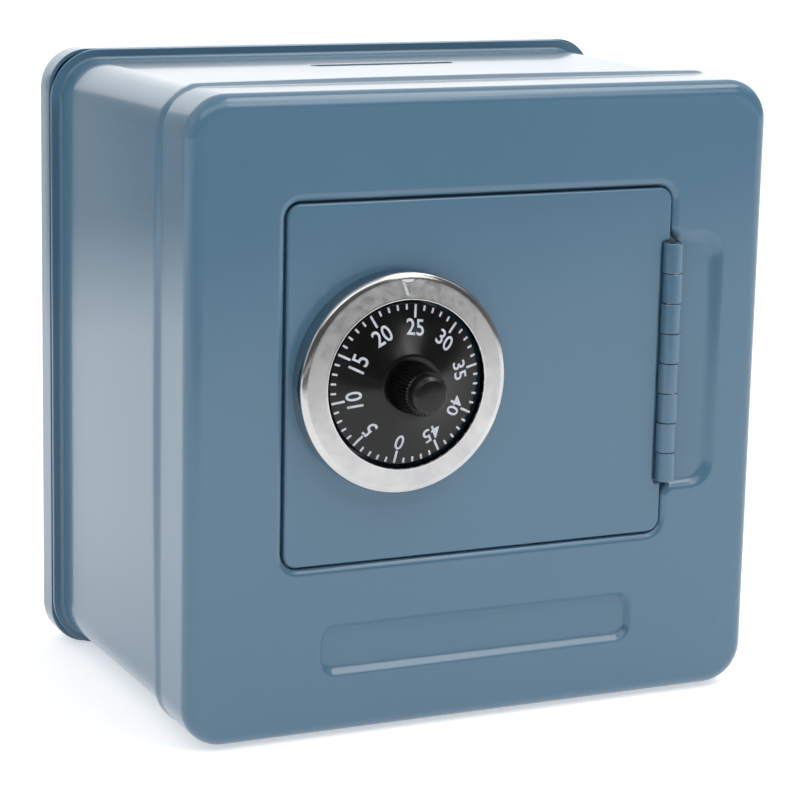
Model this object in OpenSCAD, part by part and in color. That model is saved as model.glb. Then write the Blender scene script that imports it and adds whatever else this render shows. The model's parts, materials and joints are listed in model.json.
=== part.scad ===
// Toy safe coin bank: a pressed steel case with a hinged door and a dial lock.
// X runs to the right, Y runs to the back and Z runs up. The bank stands on z = 0,
// and the origin is under the middle of its overall width and depth.

/* [Case] */
// Width of the front cover's outline
front_w = 120; // [116:1:140]
// Height of the front cover's outline
front_h = 121.4; // [118:0.2:140]
// Depth of the case from its front face to its rear face
case_d = 83; // [76:1:110]
// Corner radius of the front cover's outline
corner_r = 8; // [7:0.5:12]
// Rounding between the flat faces and the skirts of the two covers
edge_r = 3; // [2:0.5:3.5]
// Thickness of the case's steel sheet
sheet = 0.8; // [0.6:0.1:0.8]
// Depth of the front cover's skirt
front_skirt = 16.7; // [14:0.1:22]
// How far the front skirt's rear lip flares out
lip_flare = 0.75; // [0.4:0.05:1.2]
// How far the sleeve is set in from the front outline
sleeve_inset = 1.6; // [1.4:0.1:2]
// How far the rear flange stands out past the front outline at the sides and top
rear_outset = 1.3; // [0.8:0.1:2]
// Distance from the front face to the rear flange
flange_y = 74.3; // [66:0.1:74.5]

/* [Coin slot] */
// Length of the coin slot
slot_l = 31.2; // [27:0.2:36]
// Width of the coin slot
slot_w = 2.8; // [2.2:0.1:3.4]
// Distance of the coin slot behind the front face
slot_y = 53; // [40:1:60]
// Sideways place of the coin slot
slot_x = 1.5; // [-4:0.5:4]

/* [Door] */
// Width of the door opening
opening_w = 80.8; // [80:0.2:84]
// Height of the door opening
opening_h = 69.3; // [66:0.1:76]
// Gap between the door and its opening at the top, bottom and free side
door_gap = 0.6; // [0.5:0.1:0.8]
// How far the door's face lies behind the front face
door_sink = 0.3; // [0.2:0.05:0.4]
// Width of the ledge that the door closes against
ledge_w = 4; // [3:0.5:4]

/* [Hinge] */
// Length of the hinge
hinge_l = 47.2; // [40:0.2:48]
// Outer radius of the hinge barrel
barrel_r = 1.95; // [1.7:0.05:1.95]
// Radius of the hinge pin
pin_r = 1.15; // [1:0.05:1.2]
// Number of knuckles, shared by the two leaves in turn
knuckles = 8; // [4:2:10]

/* [Dial lock] */
// Outer radius of the metal ring round the dial
ring_r = 20.85; // [20.4:0.05:21]
// Radius of the ring's opening
ring_hole_r = 15.8; // [15.6:0.1:16]
// Height of the ring above the door
ring_h = 5; // [4.6:0.1:5.2]
// Radius of the dial
dial_r = 15.2; // [15:0.1:15.2]
// Radius of the spindle
spindle_r = 2; // [1.8:0.1:2]
// Radius of the lock's wheels
wheel_r = 9.5; // [9:0.1:9.5]
// Travel of the lock bolt
bolt_travel = 4; // [3:0.1:4]

/* [Hidden] */
$fn = 64;

steel_blue = [0.38, 0.49, 0.58];
steel = [0.72, 0.72, 0.74];
black = [0.05, 0.05, 0.055];
brass = [0.78, 0.62, 0.32];

// Running clearance of a shaft in its bore, and the least gap between moving pieces
fit = 0.05;
clear = 0.3;
// How far cutting shapes reach past the surface that they cut
past = 1;

// Case
front_z = lip_flare + front_h / 2;
sleeve_w = front_w - 2 * sleeve_inset;
sleeve_h = front_h - 2 * sleeve_inset;
rear_w = front_w + 2 * rear_outset;
rear_h = front_h + rear_outset + lip_flare;
flange_r = corner_r + rear_outset + 0.6;
flare_start = front_skirt - 3.4;
lip_land = 0.8;
hem_start = 6;
flange_fillet = 1.6;

// Door opening, recesses and door
opening_x = -1;
opening_z = front_z + 6.55;
opening_r = 3.2;
ledge_r = 2;
door_rim = 0.7;
ledge_y = door_sink + sheet + door_rim + clear;
hinge_side_gap = 0.3;
door_w = opening_w - door_gap - hinge_side_gap;
door_h = opening_h - 2 * door_gap;
door_x = opening_x + (door_gap - hinge_side_gap) / 2;
door_back = door_sink + sheet;
pocket_w = 10;
pocket_h = hinge_l + 1.8;
pocket_r = 4;
plaque_w = 66;
plaque_h = 9.4;
plaque_z = front_z - 44;
plaque_depth = 1.2;
plaque_r = 3;

// Hinge: the pin's axis stands just proud of the front face
leaf_t = 0.55;
leaf_y = door_back;
pin_x = opening_x + opening_w / 2 + 0.1;
pin_y = leaf_y + leaf_t + 0.05 - barrel_r;
hinge_z = opening_z - 0.2;
knuckle_pitch = hinge_l / knuckles;
knuckle_gap = 0.12;
pocket_floor = leaf_y + leaf_t;
relief_x = pin_x + barrel_r + 0.7;

// Lock, measured along -Y from the front face where a name ends in _a
lock_x = -18.7;
lock_z = front_z + 6.95;
ring_a = ring_h - door_sink;
ring_sheet = 0.6;
ring_edge_r = 1;
ring_shoulder_a = ring_a - 0.5;
ring_tabs = 6;
tab_foot = 1.8;
knob_base_a = 7.1;
knob_top_a = 12.9;
knob_base_r = 5.2;
knob_top_r = 4.35;
cap_r = 3.85;
cap_a = 15.2;
cap_plug_r = 3;
cap_plug_a = 11.9;
screw_seat_a = 10.6;
knob_screw_r = 1;
spindle_a = 9.8;
case_half_w = 15.9;
case_half_h = 15.5;
case_back = 14;
guide_x = 2;
guide_z = 7.5;
guide_r = 1.2;
ear_z = 17.9;
ear_screw_r = 1.25;
corner_post_x = 13.4;
corner_post_z = 13;
corner_post_r = 1.8;
cover_screw_r = 0.8;
cam_y = 4.4;
cam_t = 2;
wheel_t = 1.6;
wheel_gap = 1.4;
wheel_1_y = cam_y + cam_t + wheel_gap;
wheel_2_y = wheel_1_y + wheel_t + wheel_gap;
gate_w = 3.4;
gate_depth = 2.8;
drive_pin_r = 0.8;
drive_pin_at = 7.2;
drive_step = 14;
// How deep drive pins are set into their wheels
root = 0.4;
bolt_plate_y = 2.1;
bolt_plate_t = 1.4;
bolt_half_h = 10;
nose_y = ledge_y + sheet + clear;
nose_t = 3.4;
nose_half_h = 5;
nose_tip = lock_x - case_half_w - 1;
fence_x = lock_x - wheel_r - clear;
fence_t = 1;
spindle_end = case_back + sheet + 1.4;
clip_y = case_back + sheet + 0.2;

// The bank's overall depth is from the knob's cap to the rear face
centre_y = (case_d - cap_a) / 2;

// Moves a sub-part from the front face's frame to the bank's own frame
module place() {
    translate([0, -centre_y, 0]) children();
}

// A rectangle with round corners, centred on the origin
module rounded_rect(w, h, r) {
    square([w - 2 * r, h], center = true);
    square([w, h - 2 * r], center = true);
    for (x = [-1, 1], y = [-1, 1])
        translate([x * (w / 2 - r), y * (h / 2 - r)]) circle(r = r);
}

// A plate with the outline of its children, between two depths
module plate(front, back) {
    translate([0, back, 0]) rotate([90, 0, 0]) linear_extrude(back - front) children();
}

// A wall along a rounded outline. Its children are the wall's section: x runs out
// from the outline and y runs to the back.
module outline_wall(w, h, r) {
    for (side = [0, 1]) mirror([side, 0, 0]) {
        translate([w / 2, 0, r - h / 2]) linear_extrude(h - 2 * r) children();
        for (end = [0, 1]) mirror([0, 0, end]) translate([w / 2 - r, 0, r - h / 2])
            rotate([-90, 0, 0]) rotate_extrude(angle = 90) translate([r, 0]) children();
    }
    for (end = [0, 1]) mirror([0, 0, end]) rotate([0, -90, 0])
        translate([h / 2, 0, r - w / 2]) linear_extrude(w - 2 * r) children();
}

// A piece turned about the lock's axis. Its children are the section: x is the
// radius and y is the distance in front of the front face.
module turned() {
    translate([lock_x, 0, lock_z]) rotate([90, 0, 0]) rotate_extrude() children();
}

// A cylinder along Y at a place beside the lock's axis
module lock_rod(dx, dz, r, front, back) {
    translate([lock_x + dx, back, lock_z + dz]) rotate([90, 0, 0]) cylinder(h = back - front, r = r);
}

// A box beside the lock's axis, centred in height
module lock_box(x0, x1, front, back, half_h) {
    translate([x0, front, lock_z - half_h]) cube([x1 - x0, back - front, 2 * half_h]);
}

// Quarter of a bent sheet's ring, from straight ahead to straight out
module bend(r) {
    difference() {
        intersection() {
            circle(r = r);
            translate([0, -r]) square([r, r]);
        }
        circle(r = r - sheet);
    }
}

// Section of the front skirt: bent edge, straight skirt, flared lip and the hem
// that is folded inside against the sleeve
module front_section() {
    translate([-edge_r, edge_r]) bend(edge_r);
    translate([-sheet, edge_r]) square([sheet, front_skirt - edge_r]);
    translate([-sleeve_inset, hem_start]) square([sleeve_inset - sheet, front_skirt - hem_start]);
    polygon([[0, flare_start], [lip_flare, front_skirt - lip_land], [lip_flare, front_skirt], [0, front_skirt]]);
}

// Section of the rear skirt and its bent edge
module rear_section() {
    translate([-edge_r, case_d - edge_r]) mirror([0, 1]) bend(edge_r);
    translate([-sheet, flange_y + sheet]) square([sheet, case_d - edge_r - flange_y - sheet]);
}

// Section of the sleeve's wall, with the hollow fillet that leads to its flange
module sleeve_section() {
    translate([-sheet, edge_r]) square([sheet, flange_y + sheet - edge_r]);
    difference() {
        translate([0, flange_y - flange_fillet]) square([flange_fillet, flange_fillet]);
        translate([flange_fillet, flange_y - flange_fillet]) circle(r = flange_fillet);
    }
}

module door_opening(grow) {
    translate([opening_x, opening_z])
        rounded_rect(opening_w + 2 * grow, opening_h + 2 * grow, opening_r + grow);
}

// Outline of the hinge's pocket, which runs into the door opening
module hinge_pocket(grow) {
    translate([pin_x, hinge_z])
        rounded_rect(2 * pocket_w + 2 * grow, pocket_h + 2 * grow, pocket_r + grow);
}

module plaque(grow) {
    translate([0, plaque_z]) rounded_rect(plaque_w + 2 * grow, plaque_h + 2 * grow, plaque_r + grow);
}

// Front cover: a drawn pan with a joggled door opening, a pocket for the hinge's
// leaf and a shallow plaque under the door
module front_cover() {
    color(steel_blue) place() difference() {
        union() {
            translate([0, 0, front_z]) outline_wall(front_w, front_h, corner_r) front_section();
            plate(0, sheet) translate([0, front_z])
                rounded_rect(front_w - 2 * edge_r, front_h - 2 * edge_r, corner_r - edge_r);
            plate(0, ledge_y + sheet) door_opening(sheet);
            plate(0, pocket_floor + sheet) hinge_pocket(sheet);
            plate(0, plaque_depth + sheet) plaque(sheet);
        }
        plate(-past, ledge_y) door_opening(0);
        plate(-past, ledge_y + sheet + past) translate([opening_x, opening_z])
            rounded_rect(opening_w - 2 * ledge_w, opening_h - 2 * ledge_w, ledge_r);
        plate(-past, pocket_floor) hinge_pocket(0);
        plate(-past, ledge_y) intersection() {
            hinge_pocket(0);
            translate([pin_x - pocket_w, 0]) square([relief_x - pin_x + pocket_w, front_h]);
        }
        plate(-past, plaque_depth) plaque(0);
    }
}

// Body sleeve: the four walls in one wrap, with the coin slot and the rear flange
module body_sleeve() {
    color(steel_blue) place() difference() {
        union() {
            translate([0, 0, front_z]) outline_wall(sleeve_w, sleeve_h, corner_r - sleeve_inset)
                sleeve_section();
            plate(flange_y, flange_y + sheet) difference() {
                translate([0, rear_h / 2]) rounded_rect(rear_w, rear_h, flange_r);
                translate([0, front_z]) rounded_rect(sleeve_w - 2 * sheet, sleeve_h - 2 * sheet,
                    corner_r - sleeve_inset - sheet);
            }
        }
        translate([slot_x, slot_y, front_z]) linear_extrude(front_h) {
            square([slot_l - slot_w, slot_w], center = true);
            for (side = [-1, 1]) translate([side * (slot_l - slot_w) / 2, 0]) circle(d = slot_w);
        }
    }
}

module rear_cover() {
    color(steel_blue) place() union() {
        translate([0, 0, rear_h / 2]) outline_wall(rear_w, rear_h, corner_r) rear_section();
        plate(case_d - sheet, case_d) translate([0, rear_h / 2])
            rounded_rect(rear_w - 2 * edge_r, rear_h - 2 * edge_r, corner_r - edge_r);
    }
}

// Keeper: a bridge spot-welded behind the ledge, which the bolt's nose slides into
module bolt_keeper() {
    keeper_x = opening_x - opening_w / 2 + 0.2;
    keeper_w = ledge_w - 0.4;
    inner_half = nose_half_h + 0.4;
    base_y = ledge_y + sheet;
    back_gap = 0.5;
    roof_y = nose_y + nose_t + back_gap;
    foot = 5.5;
    color(steel) place() translate([keeper_x, 0, lock_z]) difference() {
        union() {
            translate([0, base_y, -inner_half - foot]) cube([keeper_w, sheet, 2 * (inner_half + foot)]);
            translate([0, base_y, -inner_half - sheet])
                cube([keeper_w, roof_y + sheet - base_y, 2 * (inner_half + sheet)]);
        }
        translate([-past, base_y - past, -inner_half])
            cube([keeper_w + 2 * past, roof_y - base_y + past, 2 * inner_half]);
    }
}

// One hinge leaf. start is the first of its knuckles, counted from the bottom, and
// side is 1 for the leaf that runs to the right of the pin.
module hinge_leaf(start, side, reach, bore_r) {
    inner = barrel_r + clear;
    translate([pin_x, 0, hinge_z - hinge_l / 2]) difference() {
        union() {
            for (k = [start : 2 : knuckles - 1]) translate([0, 0, k * knuckle_pitch + knuckle_gap / 2]) {
                translate([0, pin_y, 0]) cylinder(h = knuckle_pitch - knuckle_gap, r = barrel_r);
                mirror([(1 - side) / 2, 0, 0]) translate([0, leaf_y, 0])
                    cube([inner + past, leaf_t, knuckle_pitch - knuckle_gap]);
            }
            mirror([(1 - side) / 2, 0, 0]) translate([inner, leaf_y, 0]) cube([reach - inner, leaf_t, hinge_l]);
        }
        translate([0, pin_y, -past]) cylinder(h = hinge_l + 2 * past, r = bore_r);
    }
}

module hinge_frame_leaf() {
    color(steel_blue) place() hinge_leaf(0, 1, 7.9, pin_r);
}

module hinge_door_leaf() {
    color(steel_blue) place() hinge_leaf(1, -1, 10, pin_r + fit);
}

module hinge_pin() {
    color(steel) place() translate([pin_x, pin_y, hinge_z - hinge_l / 2]) cylinder(h = hinge_l, r = pin_r);
}

module door_outline(grow) {
    translate([door_x, opening_z]) rounded_rect(door_w + 2 * grow, door_h + 2 * grow, opening_r - door_gap + grow);
}

// The ring's tabs go through the door and bend in behind it
module ring_tab(inner_r, front, back) {
    tab_w = 3;
    translate([inner_r, front, -tab_w / 2]) cube([ring_r - inner_r, back - front, tab_w]);
}

module each_ring_tab() {
    for (k = [0 : ring_tabs - 1]) translate([lock_x, 0, lock_z]) rotate([0, k * 360 / ring_tabs, 0]) children();
}

// Door: a shallow pan, notched for the hinge barrel
module door_panel() {
    notch_x = pin_x - barrel_r - clear;
    color(steel_blue) place() difference() {
        union() {
            plate(door_sink, door_back) door_outline(0);
            plate(door_sink, door_back + door_rim) difference() {
                door_outline(0);
                door_outline(-sheet);
            }
        }
        translate([notch_x, -past, hinge_z - hinge_l / 2 - clear])
            cube([door_w, door_back + door_rim + 2 * past, hinge_l + 2 * clear]);
        lock_rod(0, 0, 4, 0, door_back + past);
        for (side = [-1, 1]) lock_rod(0, side * ear_z, ear_screw_r, 0, door_back + past);
        each_ring_tab() ring_tab(ring_r - ring_sheet, 0, door_back + past);
    }
}

// Ring: outer wall, rolled shoulder, sloping face, turned-in lip and a pointer
module lock_ring() {
    shoulder_r = ring_r - ring_edge_r;
    pointer_w = 1.9;
    color(steel) place() union() {
        turned() {
            translate([ring_r - ring_sheet, -door_sink])
                square([ring_sheet, ring_shoulder_a - ring_edge_r + door_sink]);
            translate([shoulder_r, ring_shoulder_a - ring_edge_r]) difference() {
                intersection() {
                    circle(r = ring_edge_r);
                    square([ring_edge_r, ring_edge_r]);
                }
                circle(r = ring_edge_r - ring_sheet);
            }
            polygon([[shoulder_r, ring_shoulder_a - ring_sheet], [shoulder_r, ring_shoulder_a],
                [ring_hole_r, ring_a], [ring_hole_r, ring_a - 1.6],
                [ring_hole_r + ring_sheet, ring_a - 1.6], [ring_hole_r + ring_sheet, ring_a - 0.8]]);
        }
        translate([lock_x, 0, lock_z]) plate(-ring_a, -ring_shoulder_a + ring_sheet / 2)
            polygon([[-pointer_w, shoulder_r - 0.4], [pointer_w, shoulder_r - 0.4], [0, ring_hole_r + 0.8]]);
        each_ring_tab() {
            ring_tab(ring_r - ring_sheet, door_sink, door_back + ring_sheet);
            ring_tab(ring_r - tab_foot, door_back, door_back + ring_sheet);
        }
    }
}

// Lock case: an open-backed box with two ears and four corner posts
module lock_case() {
    ear_end = ear_z + 3;
    ear_half_w = 4;
    color(steel) place() difference() {
        union() {
            difference() {
                lock_box(lock_x - case_half_w, lock_x + case_half_w, door_back, case_back, case_half_h);
                lock_box(lock_x - case_half_w + sheet, lock_x + case_half_w - sheet, door_back + sheet,
                    case_back + past, case_half_h - sheet);
            }
            lock_box(lock_x - ear_half_w, lock_x + ear_half_w, door_back, door_back + sheet, ear_end);
            for (x = [-1, 1], z = [-1, 1])
                lock_rod(x * corner_post_x, z * corner_post_z, corner_post_r, door_back, case_back);
        }
        lock_rod(0, 0, 4, 0, door_back + sheet + past);
        for (side = [-1, 1]) {
            lock_rod(0, side * ear_z, ear_screw_r, 0, door_back + sheet + past);
            lock_rod(guide_x, side * guide_z, guide_r, 0, door_back + sheet + past);
        }
        for (x = [-1, 1], z = [-1, 1])
            lock_rod(x * corner_post_x, z * corner_post_z, cover_screw_r, case_back - 5, case_back + past);
        lock_box(lock_x - case_half_w - past, lock_x - case_half_w + sheet + past, nose_y - 0.1,
            nose_y + nose_t + 0.1, nose_half_h + 0.1);
    }
}

module lock_case_cover() {
    color(steel) place() difference() {
        lock_box(lock_x - case_half_w, lock_x + case_half_w, case_back, case_back + sheet, case_half_h);
        lock_rod(0, 0, spindle_r + fit, case_back - past, case_back + sheet + past);
        for (x = [-1, 1], z = [-1, 1])
            lock_rod(x * corner_post_x, z * corner_post_z, cover_screw_r, case_back - past, case_back + sheet + past);
    }
}

// Two screws hold the lock case to the door, their heads hidden under the ring
module case_screws() {
    head_r = 1.9;
    color(steel) place() for (side = [-1, 1]) {
        lock_rod(0, side * ear_z, head_r, door_sink - 1.5, door_sink);
        lock_rod(0, side * ear_z, ear_screw_r, door_sink, door_back + sheet + 2.3);
    }
}

module case_nuts() {
    nut_r = 2.6;
    nut_front = door_back + sheet;
    nut_back = nut_front + 1.8;
    color(steel) place() for (side = [-1, 1]) difference() {
        translate([lock_x, nut_back, lock_z + side * ear_z]) rotate([90, 0, 0])
            cylinder(h = nut_back - nut_front, r = nut_r, $fn = 6);
        lock_rod(0, side * ear_z, ear_screw_r, nut_front - past, nut_back + past);
    }
}

module cover_screws() {
    head_r = 1.6;
    color(steel) place() for (x = [-1, 1], z = [-1, 1]) {
        lock_rod(x * corner_post_x, z * corner_post_z, head_r, case_back + sheet, case_back + sheet + 1);
        lock_rod(x * corner_post_x, z * corner_post_z, cover_screw_r, case_back - 4, case_back + sheet);
    }
}

// Flanged bush that the spindle turns in
module spindle_bush() {
    color(brass) place() difference() {
        union() {
            lock_rod(0, 0, 6, door_sink - 1, door_sink);
            lock_rod(0, 0, 4, door_sink, door_back + sheet);
        }
        lock_rod(0, 0, spindle_r + fit, -past, door_back + sheet + past);
    }
}

// Two headed rivets that the bolt's plate slides on
module bolt_guides() {
    head_front = bolt_plate_y + bolt_plate_t + 0.1;
    color(steel) place() for (side = [-1, 1]) {
        lock_rod(guide_x, side * guide_z, guide_r, door_back, head_front);
        lock_rod(guide_x, side * guide_z, guide_r + 1, head_front, head_front + 0.5);
    }
}

// Dial: a hollow moulded disc whose face rises in a flared cone to the knob
module dial_plate() {
    color(black) place() turned() polygon([[spindle_r, knob_base_a], [knob_base_r, knob_base_a], [9, 5.3],
        [12.5, 4.2], [dial_r, 3.6], [dial_r, 1], [14, 1], [14, 2.5], [9, 3.6], [knob_base_r, 5], [4.6, 1.2],
        [spindle_r, 1.2]]);
}

// Knob: tapered and hollow, with a seat for its screw and a socket for its cap
module dial_knob() {
    color(black) place() turned() polygon([[spindle_r, knob_base_a], [knob_base_r, knob_base_a],
        [knob_top_r, knob_top_a], [cap_plug_r, knob_top_a], [cap_plug_r, screw_seat_a],
        [knob_screw_r, screw_seat_a], [knob_screw_r, spindle_a], [spindle_r, spindle_a]]);
}

module knob_screw() {
    head_r = 2.2;
    color(steel) place() turned() polygon([[0, spindle_a - 5], [knob_screw_r, spindle_a - 5],
        [knob_screw_r, screw_seat_a], [head_r, screw_seat_a], [head_r, cap_plug_a], [0, cap_plug_a]]);
}

module knob_cap() {
    chamfer = 0.6;
    color(black) place() turned() polygon([[0, cap_plug_a], [cap_plug_r, cap_plug_a], [cap_plug_r, knob_top_a],
        [cap_r, knob_top_a], [cap_r, cap_a - chamfer], [cap_r - chamfer, cap_a], [0, cap_a]]);
}

// Spindle, tapped at the front and grooved at the back for its clip
module spindle() {
    clip_groove = 0.5;
    color(steel) place() difference() {
        lock_rod(0, 0, spindle_r, -spindle_a, spindle_end);
        lock_rod(0, 0, knob_screw_r, -spindle_a - past, 5 - spindle_a);
        turned() translate([spindle_r - 0.5, -clip_y - clip_groove]) square([past, clip_groove]);
    }
}

// Gate: the notch in a wheel's rim that the bolt's fence can drop into
module gate(front, back) {
    lock_box(lock_x - wheel_r - past, lock_x - wheel_r + gate_depth, front - past, back + past, gate_w / 2);
}

// Drive pin on one wheel's back, or the lug on the next wheel's front that it pushes
module pick_up(turn, front, back) {
    translate([lock_x, 0, lock_z]) rotate([0, turn, 0]) translate([drive_pin_at, back, 0])
        rotate([90, 0, 0]) cylinder(h = back - front, r = drive_pin_r);
}

module drive_cam() {
    back = cam_y + cam_t;
    color(steel) place() union() {
        difference() {
            lock_rod(0, 0, wheel_r, cam_y, back);
            lock_rod(0, 0, spindle_r, cam_y - past, back + past);
            gate(cam_y, back);
        }
        pick_up(0, back - root, back + wheel_gap - clear);
    }
}

// A wheel that turns freely on the spindle until its lug is picked up
module tumbler_wheel(front, lug_turn) {
    back = front + wheel_t;
    difference() {
        lock_rod(0, 0, wheel_r, front, back);
        lock_rod(0, 0, spindle_r + fit, front - past, back + past);
        gate(front, back);
    }
    pick_up(lug_turn, front - wheel_gap + clear, front + root);
}

module tumbler_wheel_1() {
    back = wheel_1_y + wheel_t;
    color(brass) place() union() {
        tumbler_wheel(wheel_1_y, drive_step);
        pick_up(3 * drive_step, back - root, back + wheel_gap - clear);
    }
}

module tumbler_wheel_2() {
    color(brass) place() tumbler_wheel(wheel_2_y, 4 * drive_step);
}

// Washers that keep the wheels apart; they grip the spindle
module wheel_washers() {
    washer_r = 4.4;
    side_gap = 0.05;
    wheel_2_back = wheel_2_y + wheel_t;
    color(steel) place() for (span = [[cam_y + cam_t, wheel_1_y], [wheel_1_y + wheel_t, wheel_2_y],
            [wheel_2_back, wheel_2_back + 0.6]]) difference() {
        lock_rod(0, 0, washer_r, span[0] + side_gap, span[1] - side_gap);
        lock_rod(0, 0, spindle_r, span[0] - past, span[1] + past);
    }
}

// Dished spring washer that stops the wheels from running on
module tension_spring() {
    spring_a = wheel_2_y + wheel_t + 0.6;
    dish = 0.6;
    spring_t = 0.3;
    color(steel) place() turned() polygon([[spindle_r, -spring_a - dish], [spindle_r, -spring_a - dish - spring_t],
        [4.2, -spring_a - spring_t], [4.2, -spring_a]]);
}

// Retaining clip in the spindle's groove
module spindle_clip() {
    clip_r = 3.6;
    color(steel) place() difference() {
        lock_rod(0, 0, clip_r, clip_y, clip_y + 0.5);
        lock_rod(0, 0, spindle_r - 0.5, clip_y - past, clip_y + 0.5 + past);
        translate([lock_x - 1.2, clip_y - past, lock_z - clip_r - past]) cube([2.4, 3 * past, clip_r + past]);
    }
}

// Bolt: a slotted plate, the nose that locks the door and the fence that blocks the
// bolt until the gates of all three wheels are under it
module lock_bolt() {
    plate_back = bolt_plate_y + bolt_plate_t;
    plate_left = fence_x - fence_t;
    color(steel) place() difference() {
        union() {
            lock_box(plate_left, lock_x + case_half_w - 3.3, bolt_plate_y, plate_back, bolt_half_h);
            lock_box(nose_tip, fence_x, nose_y, nose_y + nose_t, nose_half_h);
            lock_box(fence_x - fence_t, fence_x, nose_y, wheel_2_y + wheel_t + 0.2, 1.3);
        }
        plate(bolt_plate_y - past, plate_back + past) {
            translate([lock_x + bolt_travel / 2, lock_z])
                square([bolt_travel, 2 * spindle_r + 2 * clear], center = true);
            for (x = [0, bolt_travel]) translate([lock_x + x, lock_z]) circle(r = spindle_r + clear);
        }
        for (side = [-1, 1]) plate(bolt_plate_y - past, plate_back + past) {
            translate([lock_x + guide_x + bolt_travel / 2, lock_z + side * guide_z])
                square([bolt_travel, 2 * guide_r + 2 * fit], center = true);
            for (x = [0, bolt_travel]) translate([lock_x + guide_x + x, lock_z + side * guide_z])
                circle(r = guide_r + fit);
        }
    }
}

front_cover();
body_sleeve();
rear_cover();
bolt_keeper();
hinge_frame_leaf();
hinge_pin();
door_panel();
hinge_door_leaf();
lock_ring();
lock_case();
lock_case_cover();
case_screws();
case_nuts();
cover_screws();
spindle_bush();
bolt_guides();
dial_plate();
dial_knob();
knob_screw();
knob_cap();
spindle();
drive_cam();
wheel_washers();
tension_spring();
spindle_clip();
tumbler_wheel_1();
tumbler_wheel_2();
lock_bolt();
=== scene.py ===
import json
import math

import bmesh
import bpy
from mathutils import Matrix, Vector


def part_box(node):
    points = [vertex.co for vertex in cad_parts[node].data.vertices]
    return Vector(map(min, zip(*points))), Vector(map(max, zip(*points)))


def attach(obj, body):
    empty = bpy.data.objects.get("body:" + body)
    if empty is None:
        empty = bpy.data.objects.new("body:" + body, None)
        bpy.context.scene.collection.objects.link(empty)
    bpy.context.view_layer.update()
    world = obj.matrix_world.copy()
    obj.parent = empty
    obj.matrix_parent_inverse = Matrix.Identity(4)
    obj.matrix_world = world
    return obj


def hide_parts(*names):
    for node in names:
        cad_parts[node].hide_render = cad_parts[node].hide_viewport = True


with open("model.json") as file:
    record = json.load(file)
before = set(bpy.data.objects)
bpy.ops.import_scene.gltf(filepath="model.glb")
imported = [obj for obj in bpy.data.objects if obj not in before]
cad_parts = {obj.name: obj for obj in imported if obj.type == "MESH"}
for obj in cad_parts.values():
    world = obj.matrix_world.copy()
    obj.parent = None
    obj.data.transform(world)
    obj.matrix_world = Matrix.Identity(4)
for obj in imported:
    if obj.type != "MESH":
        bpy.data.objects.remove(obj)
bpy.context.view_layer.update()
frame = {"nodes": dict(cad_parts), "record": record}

# Sizes below are in millimetres in the front face's own frame: x to the right,
# y behind the front face and z up from the table.
MM = 0.001
NODES = frame["nodes"]


FACE_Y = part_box("front_cover")[0].y


def at(x, y, z):
    """A point given in millimetres in the front face's frame, in metres in the shared frame."""
    return Vector((x * MM, y * MM + FACE_Y, z * MM))


def from_face(point):
    """A point of the shared frame, in millimetres in the front face's frame."""
    return Vector((point.x / MM, (point.y - FACE_Y) / MM, point.z / MM))


def place_of(packed_node):
    """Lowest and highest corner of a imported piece, in millimetres in the front face's frame."""
    low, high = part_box(packed_node)
    return from_face(low), from_face(high)


# ---------------------------------------------------------------- bench tools


def begin():
    """Leaves edit mode and lets go of everything."""
    if bpy.context.object and bpy.context.object.mode != "OBJECT":
        bpy.ops.object.mode_set(mode="OBJECT")
    bpy.ops.object.select_all(action="DESELECT")


def take(*objects):
    begin()
    for obj in objects:
        obj.select_set(True)
    bpy.context.view_layer.objects.active = objects[0]
    return objects[0]


def edit(obj):
    take(obj)
    bpy.ops.object.mode_set(mode="EDIT")
    return obj


def settle(obj):
    """Puts an object's place, turn and size into its mesh."""
    take(obj)
    bpy.ops.object.transform_apply(location=True, rotation=True, scale=True)
    return obj


def pick(kind, test):
    """Selects what passes the test, by place or normal, in the mesh being edited."""
    bpy.ops.mesh.select_mode(type=kind)
    bpy.ops.mesh.select_all(action="DESELECT")
    mesh = bmesh.from_edit_mesh(bpy.context.object.data)
    items = {"VERT": mesh.verts, "EDGE": mesh.edges, "FACE": mesh.faces}[kind]
    for item in items:
        if test(item):
            item.select_set(True)
    mesh.select_flush_mode()
    bmesh.update_edit_mesh(bpy.context.object.data)


def depth(v):
    """How far a vertex lies behind the front face, in millimetres."""
    return (v.co.y - FACE_Y) / MM


def middle(item):
    """Middle of an edge or face, in millimetres in the front face's frame."""
    points = [v.co for v in item.verts]
    return from_face(sum(points, Vector()) / len(points))


def step(inwards, forwards):
    """One inset of the selected face: inwards along the face and forwards along its normal."""
    bpy.ops.mesh.inset(
        thickness=inwards * MM, depth=forwards * MM, use_even_offset=True, use_boundary=True
    )


def round_over(radius, count):
    """Convex quarter round from a wall into the face in front of it."""
    for k in range(count):
        a, b = (math.radians(90 * i / count) for i in (k, k + 1))
        step(radius * (math.cos(a) - math.cos(b)), radius * (math.sin(b) - math.sin(a)))


def roll_in(width, depth, count):
    """Convex quarter round from a face down into a recess."""
    for k in range(count):
        a, b = (math.radians(90 * i / count) for i in (k, k + 1))
        step(width * (math.sin(b) - math.sin(a)), -depth * (math.cos(a) - math.cos(b)))


def fillet(radius, count):
    """Hollow quarter round from a face up into a wall."""
    for k in range(count):
        a, b = (math.radians(90 * i / count) for i in (k, k + 1))
        step(radius * (math.sin(b) - math.sin(a)), radius * (math.cos(a) - math.cos(b)))


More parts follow.
